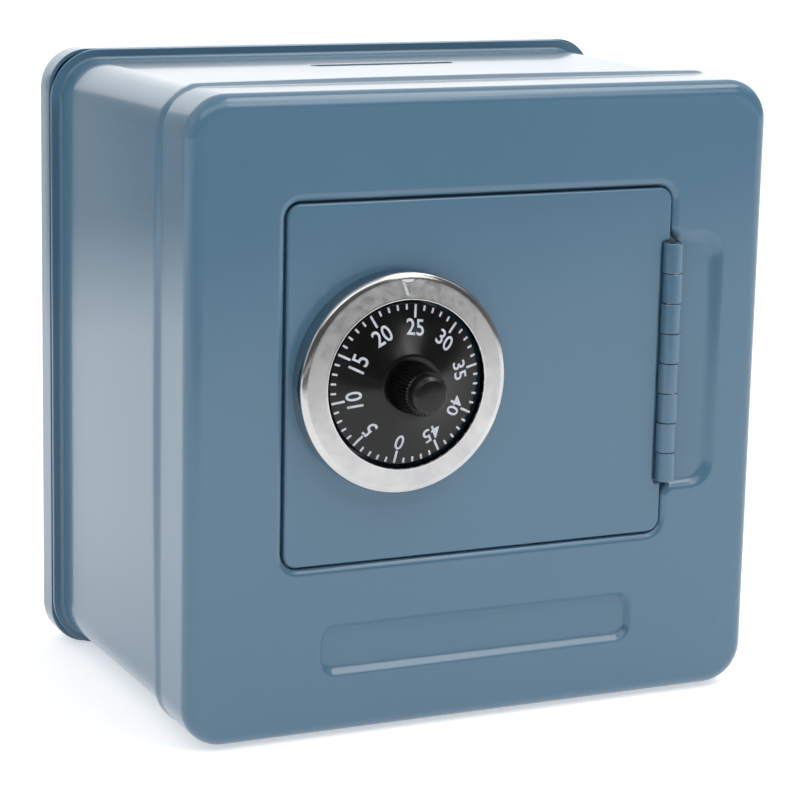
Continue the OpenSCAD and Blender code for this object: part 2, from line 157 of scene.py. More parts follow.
def blank(name, x, y, z, width, height, corner, facing=-1, segments=10, cuts=0):
    """A flat blank with round corners that faces the front or the back, left in edit mode."""
    begin()
    upright = (-facing * math.pi / 2, 0, 0)
    bpy.ops.mesh.primitive_plane_add(size=1, location=at(x, y, z), rotation=upright)
    obj = bpy.context.object
    obj.name = name
    obj.scale = (width * MM, height * MM, 1)
    edit(settle(obj))
    bpy.ops.mesh.select_all(action="SELECT")
    bpy.ops.mesh.bevel(offset=corner * MM, segments=segments, affect="VERTICES", clamp_overlap=False)
    if cuts:
        shortest = 0.5 * min(width, height) * MM
        pick("EDGE", lambda e: e.calc_length() > shortest)
        bpy.ops.mesh.subdivide(number_cuts=cuts)
    bpy.ops.mesh.select_mode(type="FACE")
    bpy.ops.mesh.select_all(action="SELECT")
    return obj


def disc(name, x, y, z, radius, vertices):
    """A flat round blank that faces the front, left in edit mode with its face selected."""
    begin()
    bpy.ops.mesh.primitive_circle_add(
        vertices=vertices, radius=radius * MM, fill_type="NGON", location=at(x, y, z),
        rotation=(math.pi / 2, 0, 0),
    )
    obj = bpy.context.object
    obj.name = name
    edit(settle(obj))
    bpy.ops.mesh.select_mode(type="FACE")
    bpy.ops.mesh.select_all(action="SELECT")
    return obj


def bar(name, low, high):
    """A block between two corners, left in edit mode."""
    begin()
    bpy.ops.mesh.primitive_cube_add(size=1, location=at(*[(a + b) / 2 for a, b in zip(low, high)]))
    obj = bpy.context.object
    obj.name = name
    obj.scale = [(b - a) * MM for a, b in zip(low, high)]
    return edit(settle(obj))


def join(first, *others):
    take(first, *others)
    bpy.ops.object.join()
    return first


def copy_of(obj, name):
    """A copy with a mesh of its own."""
    begin()
    twin = obj.copy()
    twin.data = obj.data.copy()
    twin.name = name
    bpy.context.scene.collection.objects.link(twin)
    return twin


def modify(obj, kind, **settings):
    """Adds a modifier and applies it."""
    take(obj)
    modifier = obj.modifiers.new(kind.lower(), kind)
    for name, value in settings.items():
        setattr(modifier, name, value)
    bpy.ops.object.modifier_apply(modifier=modifier.name)
    return obj


def clean(obj):
    """Merges doubled points and turns all faces outwards."""
    edit(obj)
    bpy.ops.mesh.select_all(action="SELECT")
    bpy.ops.mesh.remove_doubles(threshold=0.001 * MM)
    bpy.ops.mesh.normals_make_consistent(inside=False)
    begin()
    return obj


def thicken(obj, thickness):
    """Gives a pressed skin its sheet, inwards."""
    return modify(obj, "SOLIDIFY", thickness=thickness * MM, offset=-1, use_even_offset=True)


def soften(obj, width, segments=2, angle=40):
    """Takes the sharpness off every hard edge."""
    return modify(
        obj, "BEVEL", width=width * MM, segments=segments, limit_method="ANGLE",
        angle_limit=math.radians(angle),
    )


def smooth(obj, angle=35):
    """Smooth shading, with the large flat faces kept flat."""
    take(obj)
    bpy.ops.object.shade_smooth_by_angle(angle=math.radians(angle))
    return modify(obj, "WEIGHTED_NORMAL", keep_sharp=True)


def cut(obj, cutter, operation="DIFFERENCE"):
    """Cuts one piece with another, or joins the two into one skin."""
    modify(obj, "BOOLEAN", operation=operation, object=cutter, solver="EXACT")
    bpy.data.objects.remove(cutter)
    return obj


def fit_to(piece, body, slot, material, *replaced):
    """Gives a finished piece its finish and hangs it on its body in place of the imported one."""
    piece.data.materials.clear()
    piece.data.materials.append(material)
    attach(piece, body)
    if replaced:
        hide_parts(*replaced)


# ---------------------------------------------------------------- finishes


def new_group(name, inputs, outputs):
    """A shared node group with its inputs, its outputs and the nodes that carry them."""
    group = bpy.data.node_groups.new(name, "ShaderNodeTree")
    for label, kind, value in inputs:
        socket = group.interface.new_socket(label, in_out="INPUT", socket_type=kind)
        if value is not None:
            socket.default_value = value
    for label, kind in outputs:
        group.interface.new_socket(label, in_out="OUTPUT", socket_type=kind)
    return group, group.nodes.new("NodeGroupInput"), group.nodes.new("NodeGroupOutput")


def node(tree, kind, links=(), **settings):
    """Adds a node, sets its fields and links (socket, source) pairs into it."""
    made = tree.nodes.new("ShaderNode" + kind)
    for name, value in settings.items():
        setattr(made, name, value)
    for socket, source in links:
        if isinstance(source, bpy.types.NodeSocket):
            tree.links.new(source, made.inputs[socket])
        else:
            made.inputs[socket].default_value = source
    return made


def noise_group():
    """Orange peel and slow unevenness of a sprayed or polished surface."""
    group, enter, leave = new_group(
        "surface_unevenness",
        [
            ("Vector", "NodeSocketVector", None),
            ("Peel Scale", "NodeSocketFloat", 600.0),
            ("Cloud Scale", "NodeSocketFloat", 25.0),
        ],
        [("Peel", "NodeSocketFloat"), ("Cloud", "NodeSocketFloat")],
    )
    for label, detail in (("Peel", 2.0), ("Cloud", 3.0)):
        noise = node(group, "TexNoise", [
            ("Vector", enter.outputs["Vector"]),
            ("Scale", enter.outputs[label + " Scale"]),
            ("Detail", detail),
        ])
        group.links.new(noise.outputs["Fac"], leave.inputs[label])
    return group


def speck_group():
    """Mask of a few tiny specks of dust or pits, far apart."""
    group, enter, leave = new_group(
        "specks",
        [
            ("Vector", "NodeSocketVector", None),
            ("Scale", "NodeSocketFloat", 90.0),
            ("Size", "NodeSocketFloat", 0.02),
            ("Share", "NodeSocketFloat", 0.12),
        ],
        [("Mask", "NodeSocketFloat")],
    )
    cells = node(group, "TexVoronoi", [
        ("Vector", enter.outputs["Vector"]), ("Scale", enter.outputs["Scale"])
    ])
    near = node(group, "Math", [
        (0, cells.outputs["Distance"]), (1, enter.outputs["Size"])
    ], operation="LESS_THAN")
    chance = node(group, "SeparateColor", [(0, cells.outputs["Color"])])
    rare = node(group, "Math", [
        (0, chance.outputs[0]), (1, enter.outputs["Share"])
    ], operation="LESS_THAN")
    both = node(group, "Math", [(0, near.outputs[0]), (1, rare.outputs[0])], operation="MULTIPLY")
    group.links.new(both.outputs[0], leave.inputs["Mask"])
    return group


def radius_group():
    """Distance from an axis along Y that passes through a centre, and the angle round it."""
    group, enter, leave = new_group(
        "round_an_axis",
        [("Vector", "NodeSocketVector", None), ("Centre", "NodeSocketVector", None)],
        [("Radius", "NodeSocketFloat"), ("Angle", "NodeSocketFloat")],
    )
    offset = node(group, "VectorMath", [
        (0, enter.outputs["Vector"]), (1, enter.outputs["Centre"])
    ], operation="SUBTRACT")
    flat = node(group, "VectorMath", [(0, offset.outputs[0]), (1, (1, 0, 1))], operation="MULTIPLY")
    far = node(group, "VectorMath", [(0, flat.outputs[0])], operation="LENGTH")
    parts = node(group, "SeparateXYZ", [(0, flat.outputs[0])])
    angle = node(group, "Math", [(0, parts.outputs["Z"]), (1, parts.outputs["X"])], operation="ARCTAN2")
    group.links.new(far.outputs["Value"], leave.inputs["Radius"])
    group.links.new(angle.outputs[0], leave.inputs["Angle"])
    return group


UNEVEN = noise_group()
SPECKS = speck_group()
ROUND = radius_group()


def place_group(tree, group, links):
    """Puts a shared group into a material and links or sets its inputs."""
    made = tree.nodes.new("ShaderNodeGroup")
    made.node_tree = group
    for socket, source in links:
        if isinstance(source, bpy.types.NodeSocket):
            tree.links.new(source, made.inputs[socket])
        else:
            made.inputs[socket].default_value = source
    return made


def new_finish(name, metallic=0.0, coat=0.0, coat_roughness=0.03, ior=1.5):
    """A material with its shader, ready for its colour, roughness and bump."""
    material = bpy.data.materials.new(name)
    material.use_nodes = True
    tree = material.node_tree
    shader = tree.nodes["Principled BSDF"]
    shader.inputs["Metallic"].default_value = metallic
    shader.inputs["IOR"].default_value = ior
    shader.inputs["Coat Weight"].default_value = coat
    shader.inputs["Coat Roughness"].default_value = coat_roughness
    where = tree.nodes.new("ShaderNodeTexCoord").outputs["Object"]
    return material, tree, shader, where


def spread(tree, value, low, high, low_from=0.3, high_from=0.7):
    """Stretches a noise value over a range."""
    made = node(tree, "MapRange", [
        ("Value", value),
        ("From Min", low_from), ("From Max", high_from),
        ("To Min", low), ("To Max", high),
    ])
    return made.outputs["Result"]


def blend(tree, factor, first, second):
    """Mixes two colours by a factor."""
    made = tree.nodes.new("ShaderNodeMix")
    made.data_type = "RGBA"
    for index, source in ((0, factor), (6, first), (7, second)):
        if isinstance(source, bpy.types.NodeSocket):
            tree.links.new(source, made.inputs[index])
        else:
            made.inputs[index].default_value = source if index == 0 else (*source, 1.0)
    return made.outputs[2]


def bump(tree, shader, height, distance, strength=1.0):
    """Raises the surface by a height value, up to a distance in millimetres."""
    made = node(tree, "Bump", [("Height", height), ("Distance", distance * MM), ("Strength", strength)])
    tree.links.new(made.outputs["Normal"], shader.inputs["Normal"])


def sprayed_paint(name, bare_edges=0.0):
    """Glossy sprayed enamel, with chips down to bare metal where bare_edges is above 0."""
    material, tree, shader, where = new_finish(name, coat=0.5, coat_roughness=0.07, ior=1.4)
    uneven = place_group(tree, UNEVEN, [("Vector", where), ("Peel Scale", 520.0), ("Cloud Scale", 22.0)])
    dust = place_group(tree, SPECKS, [("Vector", where), ("Scale", 110.0), ("Size", 0.022), ("Share", 0.06)])
    pits = place_group(tree, SPECKS, [("Vector", where), ("Scale", 83.0), ("Size", 0.018), ("Share", 0.07)])
    colour = blend(tree, spread(tree, uneven.outputs["Cloud"], 0, 1), PAINT, [c * 1.05 for c in PAINT])
    colour = blend(tree, dust.outputs["Mask"], colour, (0.32, 0.4, 0.46))
    colour = blend(tree, pits.outputs["Mask"], colour, (0.03, 0.05, 0.075))
    roughness = spread(tree, uneven.outputs["Cloud"], 0.22, 0.28)
    if bare_edges:
        chips = node(tree, "TexNoise", [("Vector", where), ("Scale", 1100.0), ("Detail", 3.0)])
        joints = node(tree, "SeparateXYZ", [(0, where)])
        barrel = spread(tree, joints.outputs["Y"], 1, 0, FACE_Y + 0.1 * MM, FACE_Y + 0.5 * MM)
        pitch = node(tree, "Math", [(0, joints.outputs["Z"]), (1, HINGE_LOW * MM)], operation="SUBTRACT")
        turn = node(tree, "Math", [(0, pitch.outputs[0]), (1, PITCH * MM)], operation="DIVIDE")
        part = node(tree, "Math", [(0, turn.outputs[0])], operation="FRACT")
        centred = node(tree, "Math", [(0, part.outputs[0]), (1, 0.5)], operation="SUBTRACT")
        ends = node(tree, "Math", [(0, centred.outputs[0])], operation="ABSOLUTE")
        near = spread(tree, ends.outputs[0], 0, 1, 0.468, 0.488)
        rough = spread(tree, chips.outputs["Fac"], 0, 1, 0.56 - bare_edges, 0.6 - bare_edges)
        worn = node(tree, "Math", [(0, near), (1, rough)], operation="MULTIPLY")
        bare = node(tree, "Math", [(0, worn.outputs[0]), (1, barrel)], operation="MULTIPLY")
        colour = blend(tree, bare.outputs[0], colour, (0.72, 0.72, 0.7))
        tree.links.new(bare.outputs[0], shader.inputs["Metallic"])
    tree.links.new(colour, shader.inputs["Base Color"])
    tree.links.new(roughness, shader.inputs["Roughness"])
    bump(tree, shader, uneven.outputs["Peel"], 0.005)
    tree.links.new(shader.inputs["Normal"].links[0].from_socket, shader.inputs["Coat Normal"])
    return material


def ring_steel(name):
    """Satin stainless, with a polished rolled edge and a polished inner lip."""
    material, tree, shader, where = new_finish(name, metallic=1.0)
    uneven = place_group(tree, UNEVEN, [("Vector", where), ("Peel Scale", 700.0), ("Cloud Scale", 160.0)])
    turned = place_group(tree, ROUND, [("Vector", where), ("Centre", tuple(at(LOCK_X, 0, LOCK_Z)))])
    satin = spread(tree, turned.outputs["Radius"], 1, 0, 19.4 * MM, 19.8 * MM)
    lip = spread(tree, turned.outputs["Radius"], 0, 1, 16.0 * MM, 16.3 * MM)
    both = node(tree, "Math", [(0, satin), (1, lip)], operation="MULTIPLY")
    scuffs = spread(tree, uneven.outputs["Peel"], 0.34, 0.5)
    soft = node(tree, "Mix", [(0, both.outputs[0]), (2, 0.14), (3, scuffs)])
    tree.links.new(soft.outputs[0], shader.inputs["Roughness"])
    colour = blend(tree, spread(tree, uneven.outputs["Cloud"], 0, 1), (0.49, 0.49, 0.5), (0.57, 0.565, 0.565))
    tree.links.new(colour, shader.inputs["Base Color"])
    bump(tree, shader, uneven.outputs["Peel"], 0.02, 0.6)
    return material


def moulded_black(name, roughness, tone):
    """Black moulded plastic with faint flow marks."""
    material, tree, shader, where = new_finish(name, ior=1.4)
    uneven = place_group(tree, UNEVEN, [("Vector", where), ("Peel Scale", 700.0), ("Cloud Scale", 160.0)])
    dust = place_group(tree, SPECKS, [("Vector", where), ("Scale", 500.0), ("Size", 0.05), ("Share", 0.05)])
    clouds = spread(tree, uneven.outputs["Cloud"], 0, 1)
    colour = blend(tree, clouds, [tone * 0.85] * 3, [tone * 1.15] * 3)
    colour = blend(tree, dust.outputs["Mask"], colour, (0.1, 0.1, 0.1))
    tree.links.new(colour, shader.inputs["Base Color"])
    flow = spread(tree, uneven.outputs["Cloud"], roughness * 0.9, roughness * 1.15)
    tree.links.new(flow, shader.inputs["Roughness"])
    bump(tree, shader, uneven.outputs["Peel"], 0.002)
    return material


def printed_white(name):
    """White pad-printed ink, slightly thin in places."""
    material, tree, shader, where = new_finish(name, ior=1.45)
    uneven = place_group(tree, UNEVEN, [("Vector", where), ("Peel Scale", 3000.0), ("Cloud Scale", 900.0)])
    colour = blend(tree, spread(tree, uneven.outputs["Cloud"], 0, 1), (0.5, 0.53, 0.6), (0.62, 0.65, 0.71))
    tree.links.new(colour, shader.inputs["Base Color"])
    tree.links.new(spread(tree, uneven.outputs["Peel"], 0.4, 0.5), shader.inputs["Roughness"])
    return material


def bare_metal(name, first, second, low, high, stretch=(1, 1, 1)):
    """Plated, drawn or turned metal; stretch draws the grain out along an axis."""
    material, tree, shader, where = new_finish(name, metallic=1.0)
    drawn = node(tree, "Mapping", [("Vector", where), ("Scale", stretch)])
    uneven = place_group(tree, UNEVEN, [
        ("Vector", drawn.outputs[0]), ("Peel Scale", 700.0), ("Cloud Scale", 140.0)
    ])
    colour = blend(tree, spread(tree, uneven.outputs["Cloud"], 0, 1), first, second)
    tree.links.new(colour, shader.inputs["Base Color"])
    tree.links.new(spread(tree, uneven.outputs["Peel"], low, high), shader.inputs["Roughness"])
    bump(tree, shader, uneven.outputs["Peel"], 0.004)
    return material


# ---------------------------------------------------------------- places and sizes

ring_low, ring_high = place_of("lock_ring")
LOCK_X = (ring_low.x + ring_high.x) / 2
LOCK_Z = (ring_low.z + ring_high.z) / 2
RING_R = (ring_high.x - ring_low.x) / 2
pin_low, pin_high = place_of("hinge_pin")
PIN_X = (pin_low.x + pin_high.x) / 2
PIN_Y = (pin_low.y + pin_high.y) / 2
HINGE_LOW, HINGE_HIGH = pin_low.z, pin_high.z
HINGE_Z = (HINGE_LOW + HINGE_HIGH) / 2
KNUCKLES = 8
PITCH = (HINGE_HIGH - HINGE_LOW) / KNUCKLES
BARREL_R = 1.95
SHEET = 0.8
PAINT = (0.0725, 0.158, 0.24)

paint = sprayed_paint("blue_enamel")
hinge_paint = sprayed_paint("blue_enamel_rubbed", 0.015)
satin_steel = ring_steel("satin_stainless")
dial_black = moulded_black("black_dial", 0.2, 0.004)
knob_black = moulded_black("black_knob", 0.26, 0.006)
white_ink = printed_white("white_print")
zinc = bare_metal("zinc_plate", (0.5, 0.5, 0.49), (0.63, 0.62, 0.6), 0.28, 0.42)
drawn_steel = bare_metal("drawn_steel", (0.56, 0.56, 0.57), (0.68, 0.68, 0.68), 0.2, 0.32, (1, 0.05, 1))
turned_brass = bare_metal("turned_brass", (0.68, 0.48, 0.2), (0.8, 0.6, 0.28), 0.2, 0.33)

# ---------------------------------------------------------------- front cover

lip_low, lip_high = place_of("front_cover")
LIP_W = lip_high.x - lip_low.x
LIP_H = lip_high.z - lip_low.z
FRONT_Z = (lip_low.z + lip_high.z) / 2
LIP_Y = 16.7
FLARE = 0.75
CORNER_R = 8
EDGE_R = 3

# The door's opening, its corner and the width of its rolled-in edge
OPENING_X, OPENING_Z = -1.02, 68.08
OPENING_W, OPENING_H = 80.5, 68.86
OPENING_R = 3.2
ROLL = 1.5
LEDGE_W = 4
# The hinge's pocket: right side, half height, corner and how wide its steep wall is laid back
POCKET_RIGHT, POCKET_HALF = 49.6, 24.4
POCKET_R = 4
POCKET_SLOPE = 3.0
# How far the pocket's floor and the ledge lie behind the front face
POCKET_Y, LEDGE_Y = 1.15, 2.1
RELIEF_X = PIN_X + BARREL_R + 0.3
# The flared lip: how it rises, and how much less it stands out at the ends of each side
LIP_STEPS = ((0.12, 0.4), (0.26, 0.7), (0.22, 0.6), (0.11, 0.5), (0.04, 0.4))
LIP_LAND = 0.8
LIP_START, LIP_RISE = 12.5, 3.4
STRAIGHT_HALF = 53
SIDE_SAG, TOP_SAG = 0.62, 0.3
# The plaque's outline, and the steps of its soft sides down into the sheet
PLAQUE_W, PLAQUE_H, PLAQUE_R = 67.4, 10.8, 3.7
PLAQUE_BELOW_MIDDLE = 44
PLAQUE_STEPS = ((0.25, 0.03), (0.2, 0.1), (0.15, 0.13), (0.35, 0.36), (0.35, 0.36), (0.15, 0.13), (0.2, 0.06),
                (0.2, 0.02))


def soften_pocket(edge):
    """Lays the pocket's steep wall back to a soft slope, from the opening's edge to the right."""
    mesh = bmesh.from_edit_mesh(bpy.context.object.data)
    for v in mesh.verts:
        x, y, z = v.co.x / MM, depth(v), v.co.z / MM
        if x < edge - ROLL + 0.3 or y <= 0:
            continue
        fall = min(1.0, y / POCKET_Y)
        now = ROLL * math.sqrt(1 - (1 - fall) ** 2)
        wanted = POCKET_SLOPE * (0.5 - math.sin(math.asin(1 - 2 * fall) / 3))
        along = min(1.0, max(0.0, (x - edge + ROLL) / 4))
        up = max(-1.0, min(1.0, (z - HINGE_Z) / (POCKET_HALF - 3)))
        out = max(0.0, (x - edge - 2) / (POCKET_RIGHT - edge - 2))
        v.co.x -= (wanted - now) * min(1.0, out) * MM
        v.co.z -= (wanted - now) * (1.0 if up > 0 else 0.45) * math.copysign(abs(up) ** 3, up) * along * MM
    bmesh.update_edit_mesh(bpy.context.object.data)


def is_open_edge_at(edge, level):
    """Whether an edge lies on an open outline at a depth behind the front face."""
    return len(edge.link_faces) < 2 and all(abs(depth(v) - level) < 0.005 for v in edge.verts)


def front_cover():
    """Drawn pan: flared skirt, rolled-in door opening, pocket for the hinge and a shallow plaque."""
    pan = blank("front_cover_pan", 0, LIP_Y, FRONT_Z, LIP_W, LIP_H, CORNER_R + FLARE, cuts=9)
    step(0, LIP_LAND)
    for inwards, forwards in LIP_STEPS:
        step(inwards, forwards)
    step(0, LIP_Y - LIP_LAND - 2.6 - EDGE_R)
    round_over(EDGE_R, 8)
    bpy.ops.mesh.delete(type="ONLY_FACE")

    # The lip stands out most at the middle of each side
    def lip_share(v):
        return min(1.0, max(0.0, (depth(v) - LIP_START) / LIP_RISE))

    bpy.ops.object.mode_set(mode="OBJECT")
    for v in pan.data.vertices:
        share = lip_share(v)
        above = v.co.z - FRONT_Z * MM
        up = (v.co.z / MM - FRONT_Z) / STRAIGHT_HALF
        across = v.co.x / MM / STRAIGHT_HALF
        on_side, on_top = abs(up) <= 1.02, abs(across) <= 1.02
        if on_side:
            v.co.x -= math.copysign(share * SIDE_SAG * up * up * MM, v.co.x)
        if on_top:
            v.co.z -= math.copysign(share * TOP_SAG * across * across * MM, above)
        if not on_side and not on_top:
            v.co.x -= math.copysign(share * SIDE_SAG * MM, v.co.x)
            v.co.z -= math.copysign(share * TOP_SAG * MM, above)

    # Door opening with the hinge's pocket beside it, rolled in along one outline
    right = OPENING_X + OPENING_W / 2 + ROLL
    top, low = HINGE_Z + POCKET_HALF + ROLL, HINGE_Z - POCKET_HALF - ROLL
    begin()
    middle_of_opening = at(OPENING_X, 0, OPENING_Z)
    bpy.ops.mesh.primitive_plane_add(size=1, location=middle_of_opening, rotation=(math.pi / 2, 0, 0))
    recess = bpy.context.object
    recess.scale = ((OPENING_W + 2 * ROLL) * MM, (OPENING_H + 2 * ROLL) * MM, 1)
    edit(settle(recess))
    for height in (top, low):
        bpy.ops.mesh.select_all(action="SELECT")
        bpy.ops.mesh.bisect(plane_co=at(0, 0, height), plane_no=(0, 0, 1))
    pick("EDGE", lambda e: abs(middle(e).x - right) < 0.1 and low < middle(e).z < top)
    reach = (POCKET_RIGHT + ROLL - right) * MM
    bpy.ops.mesh.extrude_edges_move(TRANSFORM_OT_translate={"value": (reach, 0, 0)})
    bpy.ops.mesh.select_mode(type="FACE")
    bpy.ops.mesh.select_all(action="SELECT")
    bpy.ops.mesh.dissolve_faces()
    bpy.ops.mesh.select_all(action="SELECT")
    bpy.ops.mesh.dissolve_limited(angle_limit=math.radians(1))
    for radius, test in (
        (OPENING_R + ROLL, lambda x, z: abs(z - OPENING_Z) > 30),
        (POCKET_R + ROLL, lambda x, z: x > 45),
        (1.1, lambda x, z: abs(x - right) < 0.1 and abs(z - HINGE_Z) < 30),
    ):
        pick("VERT", lambda v: test(v.co.x / MM, v.co.z / MM) and len(v.link_edges) == 2)
        bpy.ops.mesh.bevel(offset=radius * MM, segments=8, affect="VERTICES", clamp_overlap=False)
    bpy.ops.mesh.select_mode(type="FACE")
    bpy.ops.mesh.select_all(action="SELECT")
    roll_in(ROLL, POCKET_Y, 10)
    soften_pocket(right)
    bpy.ops.mesh.bisect(plane_co=at(RELIEF_X, 0, 0), plane_no=(1, 0, 0))
    pick("FACE", lambda f: abs(middle(f).y - POCKET_Y) < 0.01 and len(f.verts) > 8 and middle(f).x < 30)
    drop = (LEDGE_Y - POCKET_Y) * MM
    bpy.ops.mesh.extrude_region_move(TRANSFORM_OT_translate={"value": (0, drop, 0)})
    bpy.ops.mesh.delete(type="ONLY_FACE")
    hole_w, hole_h = OPENING_W - 2 * LEDGE_W, OPENING_H - 2 * LEDGE_W
    hole = blank("ledge_hole", OPENING_X, LEDGE_Y, OPENING_Z, hole_w, hole_h, 2, segments=6)
    bpy.ops.mesh.delete(type="ONLY_FACE")

    # Plaque with soft sides
    plaque_z = FRONT_Z - PLAQUE_BELOW_MIDDLE
    plaque = blank("plaque", 0, 0, plaque_z, PLAQUE_W, PLAQUE_H, PLAQUE_R, segments=8)
    for inwards, back in PLAQUE_STEPS:
        step(inwards, -back)
    bpy.ops.mesh.dissolve_limited(angle_limit=math.radians(0.1))

    join(pan, recess, hole, plaque)
    edit(pan)
    for level in (0, LEDGE_Y):
        pick("EDGE", lambda e: is_open_edge_at(e, level))
        bpy.ops.mesh.fill(use_beauty=True)
    # The lip turns in to the sleeve
    pick("EDGE", lambda e: is_open_edge_at(e, LIP_Y))
    bpy.ops.mesh.extrude_edges_move(TRANSFORM_OT_translate={"value": (0, 0, 0)})
    turn_in = 4.5
    bpy.ops.transform.resize(
        value=(1 - turn_in / LIP_W, 1, 1 - turn_in / LIP_H), center_override=at(0, LIP_Y, FRONT_Z)
    )
    begin()
    clean(pan)
    thicken(pan, SHEET - 0.1)
    soften(pan, 0.12, 2, 50)
    smooth(pan, 30)
    pan.name = "front_cover_pressing"
    return pan


# ---------------------------------------------------------------- body sleeve and rear cover

rear_low, rear_high = place_of("rear_cover")
REAR_W = rear_high.x - rear_low.x
REAR_H = rear_high.z - rear_low.z
REAR_Y = rear_high.y
FLANGE_Y = place_of("body_sleeve")[1].y - SHEET
SLEEVE_H = LIP_H - 2 * FLARE - 3.2
# Middle, half length and half width of the coin slot
SLOT_X, SLOT_Y = 1.5, 53
SLOT_L, SLOT_W = 15.6, 1.4


def body_sleeve():
    """Wrapped side walls with a fillet up to the rear flange, and the coin slot."""
    fillet_r = 1.6
    flange_w = 1.3
    sleeve = blank("body_sleeve_wrap", 0, FLANGE_Y, REAR_H / 2, REAR_W, REAR_H, CORNER_R + 1.9)
    step(flange_w, 0)
    # The flange is wider below, where the covers stand on the table and the sleeve does not
    pick("VERT", lambda v: v.co.z / MM < FRONT_Z - 20 and not any(e.is_boundary for e in v.link_edges))
    low_edge = FRONT_Z - SLEEVE_H / 2 - fillet_r
    bpy.ops.transform.translate(value=(0, 0, (low_edge - flange_w) * MM))
    pick("FACE", lambda f: len(f.verts) > 12)
    fillet(fillet_r, 7)
    step(0, FLANGE_Y - fillet_r - 3)
    bpy.ops.mesh.delete(type="ONLY_FACE")
    begin()
    clean(sleeve)
    edit(sleeve)
    for place, normal in (
        ((SLOT_X - SLOT_L - 1.5, 0, 0), (1, 0, 0)),
        ((SLOT_X + SLOT_L + 1.5, 0, 0), (1, 0, 0)),
        ((0, SLOT_Y - 2 * SLOT_W, 0), (0, 1, 0)),
        ((0, SLOT_Y + 2 * SLOT_W, 0), (0, 1, 0)),
    ):
        bpy.ops.mesh.select_all(action="SELECT")
        bpy.ops.mesh.bisect(plane_co=at(*place), plane_no=normal)
    begin()
    thicken(sleeve, SHEET)
    slot = bar(
        "slot_cutter",
        (SLOT_X - SLOT_L, SLOT_Y - SLOT_W, FRONT_Z + 50),
        (SLOT_X + SLOT_L, SLOT_Y + SLOT_W, FRONT_Z + 70),
    )
    pick("EDGE", lambda e: abs(e.verts[0].co.z - e.verts[1].co.z) > 0.01)
    bpy.ops.mesh.bevel(offset=(SLOT_W - 0.01) * MM, segments=8, affect="EDGES")
    begin()
    cut(sleeve, slot)
    soften(sleeve, 0.22, 3, 50)
    smooth(sleeve, 30)
    return sleeve


def rear_cover():
    """Drawn pan that closes the back."""
    rim_y = FLANGE_Y + SHEET + 0.02
    pan = blank("rear_cover_pan", 0, rim_y, REAR_H / 2, REAR_W, REAR_H, CORNER_R, facing=1)
    step(0, REAR_Y - rim_y - EDGE_R)
    round_over(EDGE_R, 8)
    begin()
    clean(pan)
    thicken(pan, SHEET)
    soften(pan, 0.15, 2, 50)
    smooth(pan, 30)
    return pan


# ---------------------------------------------------------------- door and hinge

door_low, door_high = place_of("door_panel")


def door_panel():
    """Shallow pan with rounded edges, notched for the hinge's barrel."""
    front, back = door_low.y, door_high.y
    round_r = 0.55
    notch_x = PIN_X - BARREL_R - 0.15
    notch_half = (HINGE_HIGH - HINGE_LOW) / 2 + 0.3
    begin()
    centre = (door_low + door_high) / 2
    behind = at(centre.x, back, centre.z)
    bpy.ops.mesh.primitive_plane_add(size=1, location=behind, rotation=(math.pi / 2, 0, 0))
    door = bpy.context.object
    door.name = "door_pressing"
    door.scale = ((door_high.x - door_low.x) * MM, (door_high.z - door_low.z) * MM, 1)
    edit(settle(door))
    for place, normal in (
        ((0, 0, HINGE_Z - notch_half), (0, 0, 1)),
        ((0, 0, HINGE_Z + notch_half), (0, 0, 1)),
        ((notch_x, 0, 0), (1, 0, 0)),
    ):
        bpy.ops.mesh.select_all(action="SELECT")
        bpy.ops.mesh.bisect(plane_co=at(*place), plane_no=normal)
    pick("FACE", lambda f: middle(f).x > notch_x and abs(middle(f).z - HINGE_Z) < notch_half)
    bpy.ops.mesh.delete(type="FACE")
    bpy.ops.mesh.select_mode(type="FACE")
    bpy.ops.mesh.select_all(action="SELECT")
    bpy.ops.mesh.dissolve_faces()
    bpy.ops.mesh.select_all(action="SELECT")
    bpy.ops.mesh.dissolve_limited(angle_limit=math.radians(1))
    for radius, test in (
        (2.6, lambda z: abs(z - OPENING_Z) > 30),
        (0.6, lambda z: abs(z - OPENING_Z) < 30),
    ):
        pick("VERT", lambda v: test(v.co.z / MM) and len(v.link_edges) == 2)
        bpy.ops.mesh.bevel(offset=radius * MM, segments=8, affect="VERTICES", clamp_overlap=False)
    bpy.ops.mesh.select_mode(type="FACE")
    bpy.ops.mesh.select_all(action="SELECT")
    step(0, back - front - round_r)
    round_over(round_r, 5)
    begin()
    clean(door)
    thicken(door, SHEET)
    soften(door, 0.1, 2, 50)
    smooth(door, 30)
    return door


